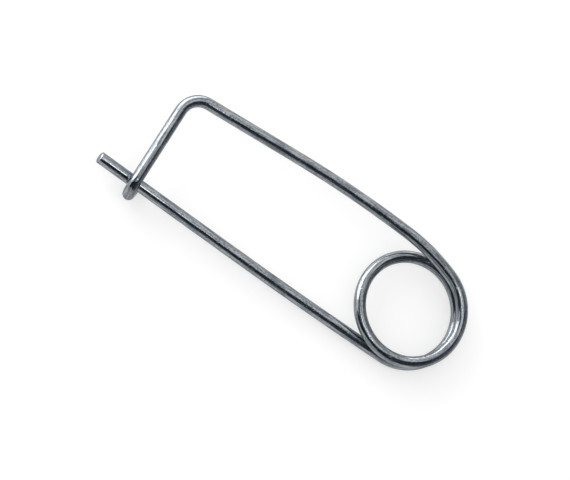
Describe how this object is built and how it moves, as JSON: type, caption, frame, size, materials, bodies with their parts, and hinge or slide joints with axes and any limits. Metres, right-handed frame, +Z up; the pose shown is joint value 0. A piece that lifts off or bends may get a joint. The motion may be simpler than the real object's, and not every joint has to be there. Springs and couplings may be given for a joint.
{
  "type": "coiled wire safety pin",
  "caption": "Springy retaining pin bent from one round wire, with a straight pin leg, a coil and a hooked cross leg that latches round the pin leg.",
  "frame": {"origin": "centre of the part's bounding box in plan, on the surface it lies on", "axes": "+X runs along the pin leg from its free end to the coil, +Y from the pin leg toward the spring leg, +Z up, out of the flat side that the cross leg is on"},
  "size_m": [0.1014, 0.0358, 0.0108],
  "materials": {
    "plated_wire": "bright zinc plating over drawn spring steel wire"
  },
  "bodies": {
    "root": {"spring_wire": "plated_wire"}
  },
  "joints": []
}
